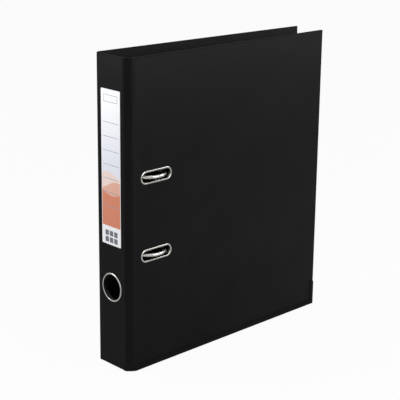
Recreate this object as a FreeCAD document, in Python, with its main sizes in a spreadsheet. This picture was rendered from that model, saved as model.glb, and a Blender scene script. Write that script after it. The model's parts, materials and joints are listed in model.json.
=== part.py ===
"""A4 lever arch file with a 52 mm spine, closed and standing on its bottom edges.

A board case wrapped in black film folds at two fold strips, one on each side of the spine.
The lever arch mechanism is riveted to the back cover, and the crowns of its arches stand
through two metal-rimmed slots in the front cover.

Row frame: +Z up, the spine faces -X, the front cover faces -Y. Lengths are in millimetres.
"""

import FreeCAD, Part
import math
import os
import Sketcher

# name, value, what it sets
SIZES = [
    # the case
    ("case_height", 318.0, "overall height, from the guards' underside to the top edge"),
    ("case_depth", 285.0, "spine's outer face to the covers' film at the fore-edge"),
    ("spine_width", 52.0, "outer planes of the two covers, at the spine"),
    ("board", 2.0, "greyboard thickness"),
    ("film", 0.3, "outer film thickness"),
    ("lining", 0.3, "inner lining thickness"),
    ("turn_in", 14.0, "width of the film folded over onto the inside"),
    ("lining_inset", 6.5, "lining's edge inside the board's edge"),
    ("fold_run", 6.0, "fold strip's reach along the covers"),
    ("fold_rise", 5.0, "fold strip's reach along the spine"),
    ("fold_thickness", 0.6, "film and lining together in the fold strip"),
    ("crease_gap", 0.35, "from a crease line to the panel on each side of it"),
    ("front_angle", 2.45, "degrees that the closed front cover leans inwards"),
    # edge guards
    ("guard_wall", 0.4, "guard's sheet thickness"),
    ("guard_leg", 5.0, "guard's reach over the cover"),
    ("guard_corner", 28.0, "guard's height at the fore-edge"),
    ("guard_start", 2.0, "guard's end, from the cover's crease"),
    ("guard_round", 1.6, "radius of the guard's corners"),
    # slots in the front cover
    ("slot_pitch", 80.0, "distance between the two slots and between the two arches"),
    ("eyelet_length", 41.7, "slot eyelet's flange, end to end"),
    ("eyelet_width", 13.6, "slot eyelet's flange, across"),
    ("eyelet_flange", 1.8, "slot eyelet's flange, from rim to opening"),
    ("eyelet_proud", 0.8, "flange thickness above the film"),
    ("eyelet_wall", 0.5, "thickness of the barrel"),
    ("rolled_rim", 0.5, "thickness of the rim rolled over inside"),
    ("hole_clearance", 0.1, "gap round a barrel or a rivet"),
    # finger ring in the spine
    ("ring_radius", 15.0, "finger ring's outer radius"),
    ("ring_band", 2.0, "finger ring's flange width"),
    ("ring_height", 84.5, "finger ring's centre above the floor"),
    ("washer_wall", 0.4, "thickness of the ring's backing washer"),
    # spine label
    ("label_width", 31.0, "label across the spine"),
    ("label_length", 156.0, "label along the spine"),
    ("label_top", 285.0, "label's top edge above the floor"),
    ("label_paper", 0.15, "label thickness"),
    # mechanism: heights are above the back cover's lining
    ("plate_sheet", 1.0, "base plate's sheet thickness"),
    ("plate_start", 12.5, "base plate's spine-side edge"),
    ("plate_width", 48.5, "base plate across"),
    ("plate_length", 150.0, "base plate along the spine"),
    ("plate_corner", 9.0, "leg of the plate's cut corners"),
    ("bead_width", 4.0, "width of the plate's stiffening beads"),
    ("bead_height", 0.7, "height of the beads"),
    ("rivet_inset", 6.5, "rivets from the plate's long edges"),
    ("rivet_end_inset", 8.5, "rivets from the plate's short edges"),
    ("rivet_radius", 2.0, "rivet shank"),
    ("rivet_head", 4.2, "rivet head's radius"),
    ("rivet_proud", 1.1, "rivet head's height on the outside"),
    ("rivet_clinch", 0.8, "rivet's closed end on the plate"),
    ("rivet_spread", 1.2, "closed end's reach past the shank"),
    ("rivet_flat", 2.3, "radius of the flat on the rivet's head"),
    ("rivet_shoulder", 3.8, "radius of the head's shoulder"),
    ("rivet_shoulder_height", 0.66, "height of the head's shoulder"),
    # arches
    ("wire", 3.6, "arch wire's diameter"),
    ("hinge_x", 20.2, "arch shaft from the spine's outer face"),
    ("hinge_height", 4.5, "arch shaft's axis"),
    ("arch_span", 33.0, "arch legs, centre to centre"),
    ("arch_height", 53.6, "top of the arches"),
    ("foot_bend", 5.0, "bend radius from the leg into the shaft"),
    ("crank_length", 12.5, "crank's reach from the shaft"),
    ("crank_half", 20.0, "half of the crank's width"),
    ("crank_bend", 4.0, "bend radius in the crank"),
    ("crank_drop", 2.0, "degrees that the closed crank points towards the plate"),
    ("tip_land", 0.5, "radius of the flat on the arch's tip"),
    # bearings of the arch shaft
    ("bearing_offset", 31.0, "bearing's centre from the mid-height"),
    ("bearing_length", 6.0, "bearing along the shaft"),
    ("bearing_wall", 1.0, "curled sheet round the shaft"),
    ("running", 0.05, "radial clearance of a turning or sliding fit"),
    # posts
    ("post_radius", 2.4, "post's tube"),
    ("post_height", 31.0, "top of the post"),
    ("post_flange", 4.0, "radius of the post's foot"),
    ("post_foot", 1.0, "thickness of the post's foot"),
    ("post_tenon", 1.8, "radius of the post's tenon in the plate"),
    ("cup_lip", 0.3, "wall left at the top of the post's cup"),
    ("seat_gap", 0.3, "gap between the arch's tip and the cup"),
    # lever and its bracket
    ("lever_x", 36.5, "lever pin from the spine's outer face"),
    ("lever_height", 11.0, "lever pin's axis"),
    ("lever_angle", 140.0, "degrees from +X to the closed lever"),
    ("lever_length", 42.0, "pin to the lever's tip"),
    ("lever_width", 18.0, "lever's channel, outside"),
    ("lever_sheet", 1.0, "lever's sheet thickness"),
    ("lever_back", 3.6, "from the pin to the lever's back"),
    ("grip_width", 24.0, "finger plate across"),
    ("grip_start", 27.0, "finger plate's near end, from the pin"),
    ("grip_curl", 1.3, "radius of the rolled tip"),
    ("pivot_boss", 3.0, "lever's radius round its pin"),
    ("side_start", 1.5, "side plates' near end along the lever's back"),
    ("side_end", 30.0, "side plates' far end along the lever's back"),
    ("side_bend", 16.2, "where the side plates begin to taper"),
    ("side_heel", 2.85, "side plates' reach behind the pin"),
    ("pin_radius", 1.5, "lever pin and roller pin"),
    ("pin_head", 2.2, "radius of a pin's head"),
    ("pin_head_height", 0.7, "height of the lever pin's head"),
    ("roller_pin_head", 0.35, "height of the roller pin's head"),
    ("ear_sheet", 1.0, "bracket ear's thickness"),
    ("ear_gap", 0.5, "between the lever and each ear"),
    ("ear_boss", 2.8, "ear's radius round the pin"),
    ("ear_foot", 6.0, "ear's width at the plate"),
    ("ear_heel", 1.2, "ear's foot, on the spine's side of the pin"),
    ("roller_arm", 5.2, "lever pin to roller pin"),
    ("roller_angle", 62.0, "degrees from the lever's back to the roller"),
    ("roller_radius", 3.0, "roller"),
    ("roller_boss", 2.4, "lever's radius round the roller pin"),
    ("rim_angle", 37.0, "degrees round that radius where the side plate's edge leaves it"),
    ("roller_side_gap", 0.3, "between the roller and each side of the lever"),
    # compressor bar
    ("bar_start", 47.0, "bar's spine-side edge"),
    ("bar_width", 14.0, "bar across"),
    ("bar_length", 118.0, "bar along the posts' row"),
    ("bar_sheet", 1.2, "bar's sheet thickness"),
    ("bar_rim", 2.6, "height of the bar's folded edges"),
    ("bar_rest", 2.6, "bar's underside when it lies at the bottom"),
    ("bar_notch", 3.4, "recess for the lever, across"),
    ("bar_notch_half", 14.0, "half of the recess's length"),
    ("bush_radius", 3.7, "bush in the bar"),
    ("bush_flange", 4.8, "bush's flange"),
    ("bush_flange_height", 0.8, "bush's flange thickness"),
    ("bush_height", 4.6, "bush, above the bar's sheet"),
]

doc = FreeCAD.newDocument("lever_arch_file")
sheet = doc.addObject("Spreadsheet::Sheet", "sizes")
NUMBERS = {name: number for name, number, _ in SIZES}


class Size:
    """A size as the document sees it (an expression) and as a number in millimetres or degrees."""

    def __init__(self, text, number):
        self.text = text
        self.number = number

    def _with(self, sign, other, number):
        return Size(f"({self.text} {sign} {size(other).text})", number)

    def __add__(self, other):
        return self._with("+", other, self.number + size(other).number)

    def __sub__(self, other):
        return self._with("-", other, self.number - size(other).number)

    def __mul__(self, other):
        return self._with("*", other, self.number * size(other).number)

    def __truediv__(self, other):
        return self._with("/", other, self.number / size(other).number)

    def __neg__(self):
        return size(0) - self


def size(source):
    """A Size from a cell's name, a plain number or another Size."""
    if isinstance(source, Size):
        return source
    if isinstance(source, str):
        return Size(f"sizes.{source}", NUMBERS[source])
    return Size(f"({source})", float(source))


def cosine(angle):
    return Size(f"cos({angle.text})", math.cos(math.radians(angle.number)))


def sine(angle):
    return Size(f"sin({angle.text})", math.sin(math.radians(angle.number)))


def root(square):
    return Size(f"sqrt({square.text})", math.sqrt(square.number))


def fill_sheet():
    """Write every driving size into the spreadsheet."""
    for row, (name, number, note) in enumerate(SIZES, start=1):
        sheet.set(f"A{row}", note)
        sheet.set(f"B{row}", str(number))
        sheet.setAlias(f"B{row}", name)
    doc.recompute()


def bind(item, prop, expression):
    item.setExpression(prop, size(expression).text)


def place(item, x, y, z):
    """Put an object's origin at a point of the row frame."""
    for letter, offset in zip("xyz", (x, y, z)):
        bind(item, f"Placement.Base.{letter}", offset)


# ---------------------------------------------------------------------------------------------
# Sketches and features


def plane_of(body, role):
    return next(item for item in body.Origin.OriginFeatures if item.Role == role)


def new_sketch(body, role, lift=0):
    """A sketch on one of the body's own planes, lifted along the plane's normal."""
    sketch = body.newObject("Sketcher::SketchObject", f"{body.Name}_sketch")
    sketch.AttachmentSupport = [(plane_of(body, role), "")]
    sketch.MapMode = "FlatFace"
    bind(sketch, "AttachmentOffset.Base.z", lift)
    return sketch


def pin_down(sketch, item, point, x, y):
    """Bind a point of the sketch to its two coordinates."""
    for kind, value in (("DistanceX", size(x)), ("DistanceY", size(y))):
        index = sketch.addConstraint(Sketcher.Constraint(kind, -1, 1, item, point, value.number))
        bind(sketch, f"Constraints[{index}]", value)


def polygon(sketch, corners):
    """A closed outline of straight lines through the corners."""
    spots = [FreeCAD.Vector(size(x).number, size(y).number, 0) for x, y in corners]
    first = sketch.GeometryCount
    for start, end in zip(spots, spots[1:] + spots[:1]):
        sketch.addGeometry(Part.LineSegment(start, end))
    for index, (x, y) in enumerate(corners):
        line, after = first + index, first + (index + 1) % len(corners)
        sketch.addConstraint(Sketcher.Constraint("Coincident", line, 2, after, 1))
        pin_down(sketch, line, 1, x, y)


def rectangle(sketch, x0, x1, y0, y1):
    polygon(sketch, [(x0, y0), (x1, y0), (x1, y1), (x0, y1)])


def circle(sketch, x, y, radius):
    centre = FreeCAD.Vector(size(x).number, size(y).number, 0)
    shape = Part.Circle(centre, FreeCAD.Vector(0, 0, 1), size(radius).number)
    item = sketch.addGeometry(shape)
    index = sketch.addConstraint(Sketcher.Constraint("Radius", item, size(radius).number))
    bind(sketch, f"Constraints[{index}]", radius)
    pin_down(sketch, item, 3, x, y)


def slot(sketch, x, y, length, width):
    """A slot with round ends, lying along the sketch's x axis."""
    radius = size(width) / 2
    half = (size(length) - width) / 2
    up = FreeCAD.Vector(0, 0, 1)
    ends = []
    for sign, start in ((-1, math.pi / 2), (1, -math.pi / 2)):
        centre_x = size(x) + half * sign
        centre = FreeCAD.Vector(centre_x.number, size(y).number, 0)
        arc = Part.ArcOfCircle(Part.Circle(centre, up, radius.number), start, start + math.pi)
        item = sketch.addGeometry(arc)
        pin_down(sketch, item, 3, centre_x, y)
        ends.append(item)
    left, right = ends
    for here, there in ((left, right), (right, left)):
        start = sketch.getPoint(here, 2)
        end = sketch.getPoint(there, 1)
        line = sketch.addGeometry(Part.LineSegment(start, end))
        sketch.addConstraint(Sketcher.Constraint("Tangent", here, 2, line, 1))
        sketch.addConstraint(Sketcher.Constraint("Tangent", line, 2, there, 1))
    index = sketch.addConstraint(Sketcher.Constraint("Radius", left, radius.number))
    bind(sketch, f"Constraints[{index}]", radius)


def new_body(label):
    body = doc.addObject("PartDesign::Body", label)
    body.Label = label
    return body


def pad(body, sketch, length, backwards=False, both_ways=False):
    feature = body.newObject("PartDesign::Pad", f"{body.Name}_pad")
    feature.Profile = sketch
    bind(feature, "Length", length)
    feature.Reversed = backwards
    if both_ways:
        feature.SideType = "Symmetric"
    return feature


def pocket_through(body, sketch):
    """Cut the sketch's outline right through the body, both ways."""
    feature = body.newObject("PartDesign::Pocket", f"{body.Name}_pocket")
    feature.Profile = sketch
    feature.SideType = "Symmetric"
    feature.Type = "ThroughAll"
    return feature


def pocket_both_ways(body, sketch, length):
    """Cut the sketch's outline out of the body, to half of the length on each side."""
    feature = body.newObject("PartDesign::Pocket", f"{body.Name}_pocket")
    feature.Profile = sketch
    feature.SideType = "Symmetric"
    bind(feature, "Length", length)
    return feature


def revolve(body, sketch, role):
    feature = body.newObject("PartDesign::Revolution", f"{body.Name}_revolution")
    feature.Profile = sketch
    feature.ReferenceAxis = (plane_of(body, role), [""])
    feature.Angle = 360.0
    return feature


def dress(body, kind, prop, amount, wanted):
    """Fillet or chamfer the edges of the body's last feature that the test picks out."""
    doc.recompute()
    base = body.Tip
    names = [f"Edge{i}" for i, edge in enumerate(base.Shape.Edges, start=1) if wanted(edge)]
    feature = body.newObject(f"PartDesign::{kind}", f"{body.Name}_{kind.lower()}")
    feature.Base = (base, names)
    bind(feature, prop, amount)


def fillet(body, radius, wanted):
    dress(body, "Fillet", "Radius", radius, wanted)


def chamfer(body, leg, wanted):
    dress(body, "Chamfer", "Size", leg, wanted)


def group(label, members):
    """Several separate solids that share one node."""
    compound = doc.addObject("Part::Compound", label)
    compound.Label = label
    compound.Links = members
    return compound


# ---------------------------------------------------------------------------------------------
# Places that pieces share

fill_sheet()
WRAPPED = size("film") * 2 + "board"
LINED = WRAPPED + "lining"
LINING_FACE = size("spine_width") - LINED
CROWN_PROUD = size("arch_height") - LINING_FACE
ORIGIN_X = size("case_depth") / 2
ORIGIN_Y = (size("spine_width") + "rivet_proud" - CROWN_PROUD) / 2
MID_HEIGHT = size("case_height") / 2
BASE = size("guard_wall")
SPAN = size("case_depth") - "fold_run"
POST_X = size("hinge_x") + "arch_span"
SLOT_X = size("hinge_x") + size("arch_span") / 2 - "fold_run"
SLOT_HEIGHTS = [MID_HEIGHT + size("slot_pitch") * half for half in (0.5, -0.5)]
PANEL_EDGE = size("fold_rise") + "crease_gap"
FRONT, BACK = 1, -1
# mm that a cutting outline reaches past the metal
OVERCUT = 1
# mm, to tell edges apart by their places
NEAR = 0.01


def place_in_cover(item, side):
    """Put a piece at its cover's crease: x runs to the fore-edge, y into the case for FRONT."""
    if side == FRONT:
        place(item, size("fold_run") - ORIGIN_X, -ORIGIN_Y, 0)
        bind(item, "Placement.Rotation.Axis.z", 1)
        bind(item, "Placement.Rotation.Angle", "front_angle")
    else:
        place(item, size("fold_run") - ORIGIN_X, size("spine_width") - ORIGIN_Y, 0)


def place_in_spine(item, y=0, z=0):
    """Put a piece at the spine's outer face: x runs into the case, y towards the back cover."""
    place(item, -ORIGIN_X, size(y) - ORIGIN_Y, z)


def place_in_mechanism(item, x, height, along, turn=0):
    """Put a piece on the back cover: its y axis stands off the lining, before turning about z.

    The half turn about (cos, -sin) of half the angle lays the piece down and turns it at once.
    """
    place(item, size(x) - ORIGIN_X, LINING_FACE - height - ORIGIN_Y, MID_HEIGHT - along)
    bind(item, "Placement.Rotation.Axis.x", cosine(size(turn) / 2))
    bind(item, "Placement.Rotation.Axis.y", -sine(size(turn) / 2))
    bind(item, "Placement.Rotation.Axis.z", 0)
    bind(item, "Placement.Rotation.Angle", 180)


def slab(body, side, x0, x1, z0, z1, depth, thickness):
    """A sheet parallel to a cover, whose outer side lies at the depth inside the outer plane."""
    # the plane's normal is -Y, so a front cover's sheet grows against it
    sketch = new_sketch(body, "XZ_Plane", -(size(depth) * side))
    rectangle(sketch, x0, x1, z0, z1)
    pad(body, sketch, thickness, backwards=side == FRONT)


def mounting_holes():
    """Centres of the four rivets: x from the spine's outer face, z from the mid-height."""
    near = size("plate_start") + "rivet_inset"
    far = size("plate_start") + "plate_width" - "rivet_inset"
    reach = size("plate_length") / 2 - "rivet_end_inset"
    return [(x, z) for x in (near, far) for z in (reach, -reach)]


def pierce(body, side):
    """Cut a cover's sheet for what passes through it: eyelets in front, rivets behind."""
    sketch = new_sketch(body, "XZ_Plane")
    if side == FRONT:
        shrink = (size("eyelet_flange") - "eyelet_wall" - "hole_clearance") * 2
        for height in SLOT_HEIGHTS:
            slot(sketch, SLOT_X, height, size("eyelet_length") - shrink, size("eyelet_width") - shrink)
    else:
        for x, z in mounting_holes():
            circle(sketch, x - "fold_run", MID_HEIGHT + z, size("rivet_radius") + "hole_clearance")
    pocket_through(body, sketch)


# ---------------------------------------------------------------------------------------------
# The covers


def cover_board(side, label):
    body = new_body(label)
    low, high = BASE + "film", size("case_height") - "film"
    slab(body, side, size("crease_gap"), SPAN - "film", low, high, "film", "board")
    pierce(body, side)
    place_in_cover(body, side)
    return body


def cover_film(side, label):
    """The wrap: an outer sheet, turned in over the top, the bottom and the fore-edge."""
    body = new_body(label)
    start, top = size("crease_gap"), size("case_height")
    inner = size("film") + "board"
    slab(body, side, start, SPAN, BASE, top, 0, "film")
    slab(body, side, start, SPAN, BASE, BASE + "film", 0, WRAPPED)
    slab(body, side, start, SPAN, top - "film", top, 0, WRAPPED)
    slab(body, side, SPAN - "film", SPAN, BASE, top, 0, WRAPPED)
    slab(body, side, start, SPAN, BASE, BASE + "turn_in", inner, "film")
    slab(body, side, start, SPAN, top - "turn_in", top, inner, "film")
    slab(body, side, SPAN - "turn_in", SPAN, BASE, top, inner, "film")
    pierce(body, side)
    place_in_cover(body, side)
    return body


def cover_lining(side, label):
    """The lining lies on the board and laps over the film's turned-in edges."""
    body = new_body(label)
    start, top = size("crease_gap"), size("case_height")
    inner = size("film") + "board"
    window = (BASE + "turn_in", top - "turn_in")
    lapped = (BASE + "lining_inset", top - "lining_inset")
    slab(body, side, start, SPAN - "lining_inset", *lapped, WRAPPED, "lining")
    slab(body, side, start, SPAN - "turn_in", *window, inner, "film")
    pierce(body, side)
    place_in_cover(body, side)
    return body


def edge_guard(side, label):
    """A steel channel over the cover's bottom edge that turns up at the fore-edge corner."""
    body = new_body(label)
    wall, leg = size("guard_wall"), size("guard_leg")
    outer_x, inner_x = SPAN + wall, SPAN - leg
    sketch = new_sketch(body, "XZ_Plane", wall * side)
    polygon(
        sketch,
        [
            ("guard_start", 0),
            (outer_x, 0),
            (outer_x, "guard_corner"),
            (inner_x, "guard_corner"),
            (inner_x, BASE + leg),
            ("guard_start", BASE + leg),
        ],
    )
    pad(body, sketch, WRAPPED + wall * 2, backwards=side == FRONT)
    fillet(body, "guard_round", is_guard_corner)
    sketch = new_sketch(body, "XY_Plane", BASE)
    depth = WRAPPED * side
    rectangle(sketch, 0, SPAN, 0, depth)
    feature = body.newObject("PartDesign::Pocket", f"{body.Name}_pocket")
    feature.Profile = sketch
    feature.Reversed = True
    feature.Type = "ThroughAll"
    place_in_cover(body, side)
    return body


def is_guard_corner(edge):
    """The edges across the guard at the free end, at the top of its corner and inside the L."""
    box = edge.BoundBox
    across = box.YLength > size("board").number and box.XLength + box.ZLength < NEAR
    lowest = box.ZMax < NEAR
    return across and not lowest


def slot_eyelet(height, label):
    """Flange outside, barrel through the cover, rim rolled over the lining."""
    body = new_body(label)
    barrel = (size("eyelet_flange") - "eyelet_wall") * 2
    rim = size("eyelet_flange")
    opening = size("eyelet_flange") * 2
    proud, rolled = size("eyelet_proud"), size("rolled_rim")
    steps = [
        (0, proud, proud),
        (barrel, 0, LINED),
        (rim, -LINED, rolled),
    ]
    for shrink, start, thickness in steps:
        sketch = new_sketch(body, "XZ_Plane", start)
        length, width = size("eyelet_length") - shrink, size("eyelet_width") - shrink
        slot(sketch, SLOT_X, height, length, width)
        pad(body, sketch, thickness, backwards=True)
    sketch = new_sketch(body, "XZ_Plane")
    slot(sketch, SLOT_X, height, size("eyelet_length") - opening, size("eyelet_width") - opening)
    pocket_through(body, sketch)
    face = proud.number
    chamfer(body, proud / 2, lambda edge: edge.BoundBox.YMax < NEAR - face)
    place_in_cover(body, FRONT)
    return body


# ---------------------------------------------------------------------------------------------
# The spine and its two fold strips


def spine_layer(label, outline):
    """A layer of the spine: its section padded from fold strip to fold strip, then pierced."""
    body = new_body(label)
    sketch = new_sketch(body, "XZ_Plane", -PANEL_EDGE)
    polygon(sketch, outline)
    pad(body, sketch, size("spine_width") - PANEL_EDGE * 2, backwards=True)
    barrel = size("ring_radius") - "ring_band" + "eyelet_wall"
    sketch = new_sketch(body, "YZ_Plane")
    circle(sketch, size("spine_width") / 2, "ring_height", barrel + "hole_clearance")
    pocket_through(body, sketch)
    place_in_spine(body)
    return body


def spine_board():
    low, high = BASE + "film", size("case_height") - "film"
    near, far = size("film"), size("film") + "board"
    return spine_layer("spine_board", [(near, low), (far, low), (far, high), (near, high)])


def spine_film():
    """The outer sheet with its returns over the top and bottom edges."""
    film, top, inner = size("film"), size("case_height"), size("film") + "board"
    outline = [
        (0, BASE),
        (WRAPPED, BASE),
        (WRAPPED, BASE + "turn_in"),
        (inner, BASE + "turn_in"),
        (inner, BASE + film),
        (film, BASE + film),
        (film, top - film),
        (inner, top - film),
        (inner, top - "turn_in"),
        (WRAPPED, top - "turn_in"),
        (WRAPPED, top),
        (0, top),
    ]
    return spine_layer("spine_film", outline)


def spine_lining():
    """The inner sheet, lapped over the film's returns."""
    top, inner = size("case_height"), size("film") + "board"
    outline = [
        (inner, BASE + "turn_in"),
        (WRAPPED, BASE + "turn_in"),
        (WRAPPED, BASE + "lining_inset"),
        (LINED, BASE + "lining_inset"),
        (LINED, top - "lining_inset"),
        (WRAPPED, top - "lining_inset"),
        (WRAPPED, top - "turn_in"),
        (inner, top - "turn_in"),
    ]
    return spine_layer("spine_lining", outline)


def fold_strip(side, label):
    """The flexible strip between the spine and a cover, at rest a chamfer across the corner."""
    body = new_body(label)
    run, rise = size("fold_run"), size("fold_rise")
    length = root(run * run + rise * rise)
    along = (-run / length, rise / length)
    inward = (rise / length, run / length)

    def corner(start, travel, depth):
        x = size(start[0]) + along[0] * travel + inward[0] * depth
        y = size(start[1]) + along[1] * travel + inward[1] * depth
        return x, y * side

    gap, thick = size("crease_gap"), size("fold_thickness")
    reach = length - gap
    cover_crease = (run, 0)
    ends = [(gap, 0), (reach, 0), (reach, thick), (gap, thick)]
    sketch = new_sketch(body, "XY_Plane", BASE)
    polygon(sketch, [corner(cover_crease, travel, depth) for travel, depth in ends])
    pad(body, sketch, size("case_height") - BASE)
    place_in_spine(body, 0 if side == FRONT else "spine_width")
    return body


def finger_ring():
    """A flange on the spine's film, a barrel through the spine and a rim over the washer."""
    body = new_body("finger_ring")
    hole = size("ring_radius") - "ring_band"
    barrel = hole + "eyelet_wall"
    rim_x = LINED + "washer_wall"
    rim_end = rim_x + "rolled_rim"
    proud = size("eyelet_proud")
    sketch = new_sketch(body, "XY_Plane")
    polygon(
        sketch,
        [
            (-proud, hole),
            (-proud, "ring_radius"),
            (0, "ring_radius"),
            (0, barrel),
            (rim_x, barrel),
            (rim_x, barrel + "eyelet_wall"),
            (rim_end, barrel + "eyelet_wall"),
            (rim_end, hole),
        ],
    )
    revolve(body, sketch, "X_Axis")
    face = proud.number
    chamfer(body, proud / 2, lambda edge: edge.BoundBox.XMax < NEAR - face)
    place_in_spine(body, size("spine_width") / 2, "ring_height")
    return body


def ring_washer():
    body = new_body("finger_ring_washer")
    hole = size("ring_radius") - "ring_band" + "eyelet_wall"
    sketch = new_sketch(body, "XY_Plane")
    rectangle(sketch, LINED, LINED + "washer_wall", hole, "ring_radius")
    revolve(body, sketch, "X_Axis")
    place_in_spine(body, size("spine_width") / 2, "ring_height")
    return body


def spine_label():
    body = new_body("spine_label")
    sketch = new_sketch(body, "YZ_Plane")
    middle, half = size("spine_width") / 2, size("label_width") / 2
    bottom = size("label_top") - "label_length"
    rectangle(sketch, middle - half, middle + half, bottom, "label_top")
    pad(body, sketch, "label_paper", backwards=True)
    place_in_spine(body)
    return body


# ---------------------------------------------------------------------------------------------
# The lever arch mechanism, drawn lying on its base plate

PLATE_TOP = size("plate_sheet")
PIN_X, PIN_HEIGHT = size("lever_x"), size("lever_height")
EAR_INNER = size("lever_width") / 2 + "ear_gap"
EAR_OUTER = EAR_INNER + "ear_sheet"
POST_ROW = [size("slot_pitch") * half for half in (-0.5, 0.5)]


def lifted_slab(body, corners, height, thickness):
    """A sheet parallel to the plate, from the height upwards."""
    sketch = new_sketch(body, "XZ_Plane", -size(height))
    polygon(sketch, corners)
    pad(body, sketch, thickness, backwards=True)


def base_plate():
    """Stamped plate with beads, two curled shaft bearings and two ears for the lever pin."""
    body = new_body("base_plate")
    left = size("plate_start")
    right = left + "plate_width"
    half, cut = size("plate_length") / 2, size("plate_corner")
    outline = [
        (left + cut, -half),
        (right - cut, -half),
        (right, -(half - cut)),
        (right, half - cut),
        (right - cut, half),
        (left + cut, half),
        (left, half - cut),
        (left, -(half - cut)),
    ]
    lifted_slab(body, outline, 0, PLATE_TOP)
    stamp_beads(body)
    shaft_bearings(body)
    lever_ears(body)
    sketch = new_sketch(body, "XZ_Plane")
    for x, z in mounting_holes():
        circle(sketch, x, z, "rivet_radius")
    for z in POST_ROW:
        circle(sketch, POST_X, z, "post_tenon")
    pocket_through(body, sketch)
    place_in_mechanism(body, 0, 0, 0)
    return body


def stamp_beads(body):
    """One long bead beside the posts and a short one at each end."""
    half = size("bead_width") / 2
    middle = (PIN_X + POST_X) / 2
    reach = size("plate_length") / 2 - "plate_corner" - "bead_width"
    spots = [(middle, -reach, reach)]
    for sign in (1, -1):
        near = (size("slot_pitch") / 2 + "foot_bend" + "wire") * sign
        spots.append((size("hinge_x") + "crank_length", near, reach * sign))
    for x, low, high in spots:
        corners = [(x - half, low), (x + half, low), (x + half, high), (x - half, high)]
        lifted_slab(body, corners, PLATE_TOP, "bead_height")


def shaft_bearings(body):
    """Each bearing is a tongue of the plate curled round the arch shaft."""
    x, height = size("hinge_x"), size("hinge_height")
    bore = size("wire") / 2 + "running"
    outer = bore + "bearing_wall"
    for sign in (1, -1):
        middle = size("bearing_offset") * sign
        start = middle - size("bearing_length") / 2
        sketch = new_sketch(body, "XY_Plane", start)
        circle(sketch, x, height, outer)
        pad(body, sketch, "bearing_length")
        sketch = new_sketch(body, "XY_Plane", start)
        rectangle(sketch, x - outer, x, 0, height)
        pad(body, sketch, "bearing_length")
    sketch = new_sketch(body, "XY_Plane")
    circle(sketch, x, height, bore)
    reach = (size("bearing_offset") + "bearing_length") * 2
    pocket_both_ways(body, sketch, reach)


def lever_ears(body):
    """Two ears bent up out of the plate, each beside the window that it came from."""
    foot_left = PIN_X - "ear_heel"
    foot_right = foot_left + "ear_foot"
    boss = size("ear_boss")
    for start in (EAR_INNER, -EAR_OUTER):
        sketch = new_sketch(body, "XY_Plane", start)
        polygon(
            sketch,
            [
                (foot_left, 0),
                (foot_right, 0),
                (PIN_X + boss, PIN_HEIGHT),
                (PIN_X - boss, PIN_HEIGHT),
                (foot_left, PIN_HEIGHT - boss),
            ],
        )
        pad(body, sketch, "ear_sheet")
        sketch = new_sketch(body, "XY_Plane", start)
        circle(sketch, PIN_X, PIN_HEIGHT, boss)
        pad(body, sketch, "ear_sheet")
    sketch = new_sketch(body, "XY_Plane")
    circle(sketch, PIN_X, PIN_HEIGHT, "pin_radius")
    pocket_both_ways(body, sketch, EAR_OUTER * 2 + "ear_sheet")
    sketch = new_sketch(body, "XZ_Plane")
    reach = PIN_HEIGHT + boss
    for low, high in ((EAR_OUTER, EAR_OUTER + reach), (-(EAR_OUTER + reach), -EAR_OUTER)):
        rectangle(sketch, foot_left, foot_right, low, high)
    pocket_both_ways(body, sketch, PLATE_TOP * 2 + "bead_height")


def plate_rivets():
    """Four rivets that hold the plate to the back cover, with their heads outside."""
    rivets = []
    for index, (x, z) in enumerate(mounting_holes()):
        rivet = doc.addObject("PartDesign::Body", f"rivet_{index + 1}")
        shank, head = size("rivet_radius"), size("rivet_head")
        outside = -LINED
        clinch = shank + "rivet_spread"
        sketch = new_sketch(rivet, "XY_Plane")
        polygon(
            sketch,
            [
                (0, outside - "rivet_proud"),
                ("rivet_flat", outside - "rivet_proud"),
                ("rivet_shoulder", outside - "rivet_shoulder_height"),
                (head, outside),
                (shank, outside),
                (shank, PLATE_TOP),
                (clinch, PLATE_TOP),
                (shank, PLATE_TOP + "rivet_clinch"),
                (0, PLATE_TOP + "rivet_clinch"),
            ],
        )
        revolve(rivet, sketch, "Y_Axis")
        place_in_mechanism(rivet, x, 0, z)
        rivets.append(rivet)
    return group("plate_rivets", rivets)


def post(along, label):
    """A fixed post whose top is a cone-shaped cup for the arch's tip."""
    body = new_body(label)
    tenon, tube, foot = size("post_tenon"), size("post_radius"), size("post_flange")
    lip = tube - "cup_lip"
    top = size("post_height")
    floor = top - (lip - "tip_land")
    sketch = new_sketch(body, "XY_Plane")
    polygon(
        sketch,
        [
            (0, 0),
            (tenon, 0),
            (tenon, PLATE_TOP),
            (foot, PLATE_TOP),
            (foot, PLATE_TOP + size("post_foot") / 2),
            (tube, PLATE_TOP + "post_foot"),
            (tube, top),
            (lip, top),
            ("tip_land", floor),
            (0, floor),
        ],
    )
    revolve(body, sketch, "Y_Axis")
    place_in_mechanism(body, POST_X, 0, along)
    return body


def tip_height():
    """Where the arch's tip ends, so that its cone stands off the cup's wall by the seat gap."""
    lip = size("post_radius") - "cup_lip"
    depth = lip - "tip_land" - size("seat_gap") * root(size(2))
    return size("post_height") - depth


def rounded_path(corners, radii):
    """Straight runs joined by tangent arcs: one radius for each inner corner."""
    edges = []
    here = corners[0]
    for before, corner, after, radius in zip(corners, corners[1:], corners[2:], radii):
        back = (before - corner).normalize()
        ahead = (after - corner).normalize()
        half = back.getAngle(ahead) / 2
        trim = radius / math.tan(half)
        middle = corner + (back + ahead).normalize() * (radius / math.sin(half) - radius)
        start, end = corner + back * trim, corner + ahead * trim
        if (start - here).Length > 1e-6:
            edges.append(Part.LineSegment(here, start).toShape())
        edges.append(Part.Arc(start, middle, end).toShape())
        here = end
    edges.append(Part.LineSegment(here, corners[-1]).toShape())
    return Part.Wire(edges)


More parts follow.
